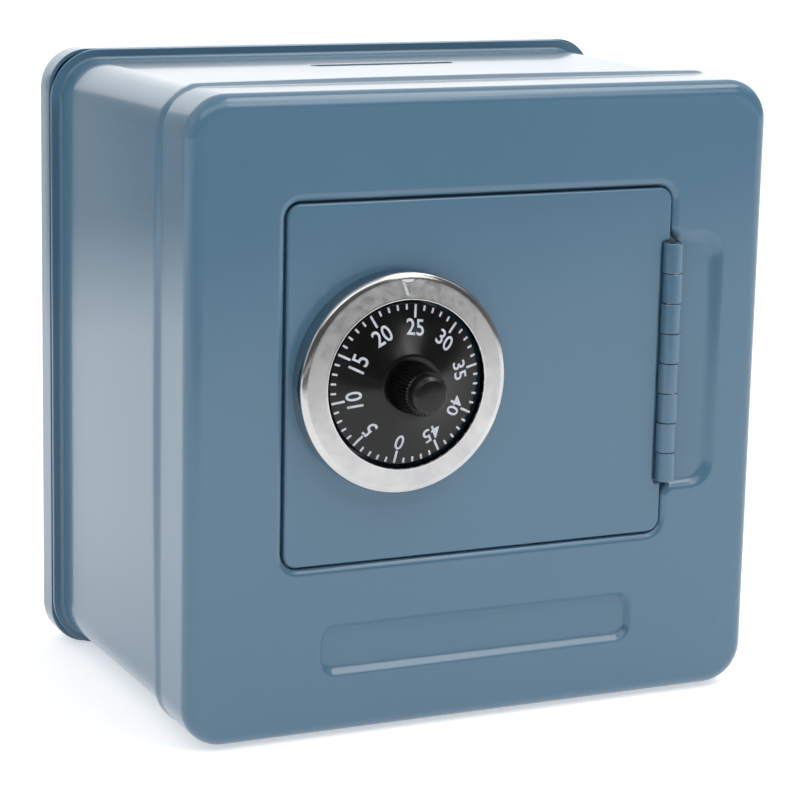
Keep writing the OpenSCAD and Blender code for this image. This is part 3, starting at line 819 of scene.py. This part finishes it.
def knuckle(name, number, side):
    """One rolled knuckle with its neck, by its number from the bottom."""
    gap = 0.14
    length = PITCH - gap
    low = HINGE_LOW + number * PITCH + gap / 2
    halfway = low + length / 2
    # Hand-bent: the two leaves' knuckles are not quite in line
    shift = -0.1 if side < 0 else 0.05
    begin()
    bpy.ops.mesh.primitive_cylinder_add(
        vertices=40, radius=BARREL_R * MM, depth=length * MM, location=at(PIN_X + shift, PIN_Y, halfway)
    )
    roll = bpy.context.object
    roll.name = name
    edit(settle(roll))
    pick("FACE", lambda f: abs(f.normal.z) > 0.9)
    bpy.ops.mesh.inset(thickness=0.5 * MM, use_individual=True)
    bpy.ops.mesh.inset(thickness=0.12 * MM, depth=-0.4 * MM, use_individual=True)

    def at_an_end(vertex):
        return abs(abs(vertex.co.z / MM - halfway) - length / 2) < 0.01

    pick("EDGE", lambda e: e.calc_face_angle(0) > 1 and at_an_end(e.verts[0]))
    bpy.ops.mesh.bevel(offset=0.14 * MM, segments=3, affect="EDGES")
    neck_x = sorted((PIN_X, PIN_X + side * 2.6))
    neck = bar(name + "_neck", (neck_x[0], 1.12, low + 0.05), (neck_x[1], 1.63, low + length - 0.05))
    pick("EDGE", lambda e: abs(e.verts[0].co.x - e.verts[1].co.x) > 0.001)
    bpy.ops.mesh.bevel(offset=0.12 * MM, segments=2, affect="EDGES")
    return join(roll, neck)


def hinge_leaf(name, first, side, reach):
    """Leaf plate with every second knuckle."""
    ends = sorted((PIN_X + side * 2.1, PIN_X + side * reach))
    plate = bar(name, (ends[0], 1.1, HINGE_LOW), (ends[1], 1.65, HINGE_HIGH))
    far = PIN_X + side * reach

    def is_far_corner(edge):
        return abs(depth(edge.verts[0]) - depth(edge.verts[1])) > 0.1 and abs(middle(edge).x - far) < 0.1

    pick("EDGE", is_far_corner)
    bpy.ops.mesh.bevel(offset=1.2 * MM, segments=6, affect="EDGES")
    begin()
    soften(plate, 0.12, 2, 50)
    parts = [knuckle(f"{name}_knuckle_{k + 1}", k, side) for k in range(first, KNUCKLES, 2)]
    join(plate, *parts)
    return smooth(plate, 35)


def hinge_pin():
    """Pin with slightly domed ends."""
    begin()
    bpy.ops.mesh.primitive_cylinder_add(
        vertices=32, radius=1.12 * MM, depth=(HINGE_HIGH - HINGE_LOW - 0.3) * MM,
        location=at(PIN_X, PIN_Y, HINGE_Z),
    )
    pin = bpy.context.object
    pin.name = "hinge_pin_domed"
    edit(settle(pin))
    pick("FACE", lambda f: abs(f.normal.z) > 0.9)
    bpy.ops.mesh.inset(thickness=0.3 * MM, depth=0.1 * MM, use_individual=True)
    bpy.ops.mesh.inset(thickness=0.4 * MM, depth=0.03 * MM, use_individual=True)
    begin()
    return smooth(pin, 40)


# ---------------------------------------------------------------- dial lock


# The ring's sloping face: its outer radius, the height there and how much it rises inwards
SLOPE_R, SLOPE_HEIGHT, SLOPE_RISE = 19.3, 4.12, 0.164


def slope(radius):
    """Height of the ring's sloping face above the front face's plane, at a radius."""
    return SLOPE_HEIGHT + (SLOPE_R - radius) * SLOPE_RISE


def lock_ring():
    """Rolled ring with its sloping face, inner lip, pointer and the tabs behind the door."""
    edge_r, edge_turn, edge_steps = 0.9, 65, 7
    ring = disc("lock_ring_spun", LOCK_X, 0.3, LOCK_Z, RING_R, 128)
    step(0, 3.3)
    for k in range(edge_steps):
        a, b = (math.radians(edge_turn * i / edge_steps) for i in (k, k + 1))
        step(edge_r * (math.cos(a) - math.cos(b)), edge_r * (math.sin(b) - math.sin(a)))
    for tilt in (22, 18, 14.5, 11.5):
        step(0.2575, 0.2575 * math.tan(math.radians(tilt)))
    for a, b in ((SLOPE_R, 18.4), (18.4, 17.4), (17.4, 16.5), (16.5, 16.15)):
        step(a - b, slope(b) - slope(a))
    for inwards, forwards in ((0.13, 0.03), (0.12, -0.04), (0.1, -0.16), (0, -1.2)):
        step(inwards, forwards)
    bpy.ops.mesh.delete(type="ONLY_FACE")
    begin()
    clean(ring)
    thicken(ring, 0.5)

    # Pointer: a pressed-up wedge with steep flanks
    head, tip = SLOPE_R, 16.7
    pointer = bar("ring_pointer", (LOCK_X - 1, -4.4, LOCK_Z + tip), (LOCK_X + 1, -3.4, LOCK_Z + head))
    mesh = bmesh.from_edit_mesh(pointer.data)
    for v in mesh.verts:
        face, outer = depth(v) < -3.9, v.co.z / MM > LOCK_Z + 18
        half = (0.75 if outer else 0.12) if face else (1.45 if outer else 0.5)
        radius = (head if outer else tip + 0.2) if face else (head + 0.35 if outer else tip - 0.15)
        v.co.x = (LOCK_X + math.copysign(half, v.co.x / MM - LOCK_X)) * MM
        v.co.z = (LOCK_Z + radius) * MM
        v.co.y = FACE_Y - (slope(radius) + (0.5 if face else -0.12)) * MM
    bmesh.update_edit_mesh(pointer.data)
    begin()
    clean(pointer)
    soften(pointer, 0.06, 2, 20)
    join(ring, pointer)

    tab_x = LOCK_X + RING_R
    tab = bar("ring_tab", (tab_x - 1.8, 1.1, LOCK_Z - 1.5), (tab_x - 0.1, 1.7, LOCK_Z + 1.5))
    bpy.ops.mesh.select_all(action="SELECT")
    bpy.ops.mesh.bevel(offset=0.2 * MM, segments=2, affect="EDGES")
    begin()
    tabs = []
    tab_count = 6
    centre = Matrix.Translation(at(LOCK_X, 0, LOCK_Z))
    for k in range(tab_count):
        turned = copy_of(tab, f"ring_tab_{k}")
        turn = Matrix.Rotation(math.radians(360 / tab_count * k), 4, "Y")
        turned.matrix_world = centre @ turn @ centre.inverted()
        tabs.append(settle(turned))
    bpy.data.objects.remove(tab)
    join(ring, *tabs)
    return smooth(ring, 35)


# Radius and height of the dial's face, from its rim to the knob
DIAL_SECTION = (
    (15.0, 3.6), (14.2, 3.74), (13.2, 3.96), (12.2, 4.22), (11.2, 4.54), (10.2, 4.9),
    (9.2, 5.3), (8.2, 5.74), (7.2, 6.22), (6.4, 6.62), (5.6, 7.02),
)


def dial_plate():
    """Disc whose face rises in a flared cone to the knob."""
    dial = disc("dial_disc", LOCK_X, -1.0, LOCK_Z, 15.2, 128)
    step(0, 2.4)
    step(0.06, 0.12)
    r, a = 15.14, 3.52
    for next_r, next_a in DIAL_SECTION:
        step(r - next_r, next_a - a)
        r, a = next_r, next_a
    pick("EDGE", lambda e: e.is_boundary)
    bpy.ops.mesh.edge_face_add()
    begin()
    clean(dial)
    return smooth(dial, 40)


def dial_knob():
    """Tapered knob with straight knurling."""
    teeth, base_r, top_r, base_a, top_a = 40, 4.95, 4.3, 6.9, 12.9
    knob = disc("dial_knob_knurled", LOCK_X, -base_a, LOCK_Z, base_r, 2 * teeth)
    step(base_r - top_r, top_a - base_a)
    middle_of_dial = at(LOCK_X, 0, LOCK_Z)

    def root_line(v):
        turn = math.atan2(v.co.z - middle_of_dial.z, v.co.x - middle_of_dial.x) / math.tau * teeth
        return abs(turn - round(turn)) > 0.25

    pick("VERT", root_line)
    bpy.ops.transform.resize(value=(0.89, 1, 0.89), center_override=middle_of_dial)
    pick("FACE", lambda f: len(f.verts) > 8)
    step(0.1, 0.08)
    step(0.25, 0)
    pick("EDGE", lambda e: e.is_boundary)
    bpy.ops.mesh.edge_face_add()
    begin()
    clean(knob)
    return smooth(knob, 25)


def knob_cap():
    """Smooth cap with a chamfer."""
    cap = disc("knob_cap_smooth", LOCK_X, -12.8, LOCK_Z, 3.5, 72)
    step(0, 1.65)
    step(0.05, 0.1)
    step(0.06, 0.08)
    step(0.42, 0.42)
    step(0.07, 0.1)
    step(0.1, 0.05)
    step(2.3, 0)
    pick("EDGE", lambda e: e.is_boundary)
    bpy.ops.mesh.edge_face_add()
    begin()
    clean(cap)
    return smooth(cap, 50)


MARKS = 50
# The dial rests with this number near the pointer, at this angle
NUMBER_OF_TOP = 25
TOP_ANGLE = 82.8
# Outer radius of the marks, and middle radius and height of the figures
SCALE_R, FIGURE_R, FIGURE_H = 14.95, 10.85, 2.95
# Where the print is drawn before it is laid on the dial
PRINT_Y = -20 * MM


def angle_of(number):
    """Angle of a dial number, anticlockwise from the right as seen from the front."""
    return math.radians(TOP_ANGLE - (number - NUMBER_OF_TOP) * 360 / MARKS)


def around_dial(number):
    """Turns and moves a thing drawn upright at the origin to a number's place, tops outwards."""
    turn = Matrix.Rotation(-(angle_of(number) - math.pi / 2), 4, "Y")
    return Matrix.Translation(at(LOCK_X, 0, LOCK_Z)) @ turn


def dial_print(dial):
    """White scale of fifty marks with a number at every fifth."""
    parts = []
    for length, width, name in ((2.43, 0.44, "long_mark"), (1.0, 0.4, "short_mark")):
        begin()
        place = (0, PRINT_Y, (SCALE_R - length / 2) * MM)
        bpy.ops.mesh.primitive_plane_add(size=1, location=place, rotation=(math.pi / 2, 0, 0))
        mark = bpy.context.object
        mark.name = name
        mark.scale = (width * MM, length * MM, 1)
        edit(settle(mark))
        bpy.ops.mesh.select_all(action="SELECT")
        bpy.ops.mesh.bevel(offset=0.08 * MM, segments=2, affect="VERTICES")
        bpy.ops.mesh.select_all(action="SELECT")
        for part in (0.25, 0.5, 0.75):
            bpy.ops.mesh.bisect(plane_co=(0, 0, (SCALE_R - length * part) * MM), plane_no=(0, 0, 1))
            bpy.ops.mesh.select_all(action="SELECT")
        begin()
        for number in range(MARKS):
            if (number % 5 == 0) == (name == "long_mark"):
                twin = copy_of(mark, f"{name}_{number}")
                twin.matrix_world = around_dial(number)
                parts.append(settle(twin))
        bpy.data.objects.remove(mark)
    for number in range(0, MARKS, 5):
        begin()
        bpy.ops.object.text_add(location=(0, 0, 0))
        text = bpy.context.object
        text.data.body = str(number)
        text.data.align_x = "CENTER"
        text.data.size = 1
        text.data.space_character = 1.02
        text.data.offset = 0.012
        text.data.resolution_u = 4
        take(text)
        bpy.ops.object.convert(target="MESH")
        figure = bpy.context.object
        figure.name = f"figure_{number}"
        xs = [v.co.x for v in figure.data.vertices]
        ys = [v.co.y for v in figure.data.vertices]
        tall = FIGURE_H * MM / (max(ys) - min(ys))
        wide = tall * 0.93
        centre = Matrix.Translation((-(max(xs) + min(xs)) / 2, -(max(ys) + min(ys)) / 2, 0))
        size = Matrix.Diagonal((wide, tall, 1, 1))
        lift = Matrix.Translation((0, PRINT_Y, FIGURE_R * MM)) @ Matrix.Rotation(math.pi / 2, 4, "X")
        figure.matrix_world = around_dial(number) @ lift @ size @ centre
        parts.append(settle(figure))
        edit(figure)
        bpy.ops.mesh.select_all(action="SELECT")
        bpy.ops.mesh.remove_doubles(threshold=0.004 * MM)
        bpy.ops.mesh.quads_convert_to_tris()
        bpy.ops.mesh.subdivide(number_cuts=1)
        begin()
    scale = join(*parts)
    scale.name = "dial_scale_print"
    modify(
        scale, "SHRINKWRAP", target=dial, wrap_method="PROJECT", use_project_y=True,
        use_positive_direction=True, use_negative_direction=True, offset=0.03 * MM,
    )
    edit(scale)
    bpy.ops.mesh.select_all(action="SELECT")
    bpy.ops.mesh.normals_make_consistent(inside=False)
    begin()
    if sum(p.normal.y for p in scale.data.polygons) > 0:
        edit(scale)
        bpy.ops.mesh.select_all(action="SELECT")
        bpy.ops.mesh.flip_normals()
        begin()
    modify(scale, "SOLIDIFY", thickness=0.05 * MM, offset=-1)
    return scale


# ---------------------------------------------------------------- putting it together

fit_to(front_cover(), "case", "blue_paint", paint, "front_cover")
fit_to(body_sleeve(), "case", "blue_paint", paint, "body_sleeve")
fit_to(rear_cover(), "case", "blue_paint", paint, "rear_cover")
fit_to(door_panel(), "door", "blue_paint", paint, "door_panel")
fit_to(hinge_leaf("hinge_leaf_on_frame", 0, 1, 7.9), "case", "blue_paint", hinge_paint, "hinge_frame_leaf")
fit_to(hinge_leaf("hinge_leaf_on_door", 1, -1, 10), "door", "blue_paint", hinge_paint, "hinge_door_leaf")
fit_to(hinge_pin(), "case", "bright_steel", drawn_steel, "hinge_pin")
fit_to(lock_ring(), "door", "stainless_ring", satin_steel, "lock_ring")
dial = dial_plate()
fit_to(dial_print(dial), "dial", "dial_black", white_ink)
fit_to(dial, "dial", "dial_black", dial_black, "dial_plate")
fit_to(dial_knob(), "dial", "knob_black", knob_black, "dial_knob")
fit_to(knob_cap(), "dial", "knob_black", knob_black, "knob_cap")

FINISH_OF_NODE = {
    "brass": turned_brass,
    "bright_steel": drawn_steel,
    "zinc_steel": zinc,
    "blue_paint": paint,
    "stainless_ring": satin_steel,
    "dial_black": dial_black,
    "knob_black": knob_black,
}
for entry in frame["record"]["subparts"]:
    packed = NODES[entry["node"]]
    packed.data.materials.clear()
    packed.data.materials.append(FINISH_OF_NODE[entry["material_slot"]])

# ---------------------------------------------------------------- floor, light and camera


def stage_floor():
    """Pale table top that stays in view behind the bank."""
    begin()
    bpy.ops.mesh.primitive_plane_add(size=8, location=(0, 0, 0))
    floor = bpy.context.object
    floor.name = "studio_floor"
    material, tree, shader, where = new_finish("pale_floor")
    uneven = place_group(tree, UNEVEN, [("Vector", where), ("Peel Scale", 60.0), ("Cloud Scale", 2.0)])
    colour = blend(tree, spread(tree, uneven.outputs["Cloud"], 0, 1), (0.82, 0.82, 0.82), (0.84, 0.84, 0.84))
    tree.links.new(colour, shader.inputs["Base Color"])
    tree.links.new(spread(tree, uneven.outputs["Peel"], 0.75, 0.85), shader.inputs["Roughness"])
    shader.inputs["Specular IOR Level"].default_value = 0.1
    # A table that is lit a little from within, so that shadows stay pale
    shader.inputs["Emission Color"].default_value = (1, 1, 1, 1)
    shader.inputs["Emission Strength"].default_value = 0.5
    floor.data.materials.append(material)


def softbox(name, place, aim, width, height, brightness):
    """A soft rectangular light, by how bright its face looks."""
    light = bpy.data.lights.new(name, "AREA")
    light.shape = "RECTANGLE"
    light.size, light.size_y = width, height
    light.energy = brightness * math.pi * width * height
    lamp = bpy.data.objects.new(name, light)
    bpy.context.scene.collection.objects.link(lamp)
    lamp.location = place
    lamp.rotation_mode = "QUATERNION"
    lamp.rotation_quaternion = (Vector(aim) - Vector(place)).to_track_quat("-Z", "Y")
    return lamp


def studio_light():
    """A pale room, lighter behind the bank, with six soft lights."""
    world = bpy.data.worlds.new("studio")
    bpy.context.scene.world = world
    world.use_nodes = True
    tree = world.node_tree
    back = tree.nodes["Background"]
    where = tree.nodes.new("ShaderNodeTexCoord").outputs["Generated"]
    parts = node(tree, "SeparateXYZ", [(0, where)])
    room = spread(tree, parts.outputs["Y"], 0.12, 0.46, -0.6, 0.5)
    tree.links.new(room, back.inputs["Strength"])
    back.inputs["Color"].default_value = (1, 1, 1, 1)
    softbox("overhead_softbox", (0.0, 0.72, 0.9), (0, 0.72, 0), 3.4, 2.4, 0.46)
    softbox("back_softbox", (0.0, 2.3, 0.6), (0, 0, 0.35), 7.0, 1.2, 1.15)
    softbox("front_softbox", (-0.15, -0.85, 1.0), (0, 0, 0.08), 1.6, 0.6, 1.75)
    softbox("top_softbox", (0.42, -0.27, 0.98), (0, 0, 0.1), 0.55, 0.5, 4.0)
    softbox("right_softbox", (0.55, -0.95, 0.85), (0, 0, 0.07), 0.45, 0.6, 2.0)
    softbox("left_softbox", (-1.5, -0.1, 0.6), (0, 0, 0.06), 1.2, 0.8, 0.35)


def flag(name, place, width, length, turn, soft_edge):
    """A dark card that only shows in reflections, with one soft edge along its local +Y side."""
    begin()
    bpy.ops.mesh.primitive_plane_add(size=1, location=(0, 0, 0))
    card = bpy.context.object
    card.name = name
    card.scale = (width, length, 1)
    settle(card)
    card.location = place
    card.rotation_euler = [math.radians(angle) for angle in turn]
    material, tree, shader, where = new_finish(name + "_black")
    parts = node(tree, "SeparateXYZ", [(0, where)])
    alpha = spread(tree, parts.outputs["Y"], 0.92, 0.0, length / 2 - soft_edge, length / 2)
    tree.links.new(alpha, shader.inputs["Alpha"])
    uneven = place_group(tree, UNEVEN, [("Vector", where), ("Peel Scale", 60.0), ("Cloud Scale", 2.0)])
    black = blend(tree, uneven.outputs["Cloud"], (0.01, 0.01, 0.01), (0.02, 0.02, 0.02))
    tree.links.new(black, shader.inputs["Base Color"])
    tree.links.new(spread(tree, uneven.outputs["Peel"], 0.8, 0.9), shader.inputs["Roughness"])
    card.data.materials.append(material)
    card.visible_camera = card.visible_diffuse = card.visible_shadow = card.visible_transmission = False


def camera():
    """Long lens, in front of the bank's left corner and a little above it."""
    turn, rise, roll = math.radians(25.25), math.radians(12.35), math.radians(1.24)
    back = Vector((-math.sin(turn) * math.cos(rise), -math.cos(turn) * math.cos(rise), math.sin(rise)))
    right = Vector((0, 0, 1)).cross(back).normalized()
    up = back.cross(right)
    level_right = right * math.cos(roll) + up * math.sin(roll)
    level_up = up * math.cos(roll) - right * math.sin(roll)
    data = bpy.data.cameras.new("camera")
    data.sensor_width = 36
    data.lens = 125.63
    data.clip_start = 0.05
    cam = bpy.data.objects.new("camera", data)
    bpy.context.scene.collection.objects.link(cam)
    cam.matrix_world = Matrix.Translation(Vector((-0.2341, -0.4923, 0.1755))) @ Matrix(
        (level_right, level_up, back)
    ).transposed().to_4x4()
    bpy.context.scene.camera = cam


stage_floor()
studio_light()
flag("front_flag", (-0.05, -0.79, 0.0015), 1.6, 0.9, (0, 0, -25.25), 0.14)
flag("left_flag", (-0.298, 0.3, 0.161), 0.305, 0.3, (-90, 0, 0), 0.036)
camera()
bpy.context.scene.view_settings.view_transform = "Standard"

begin()
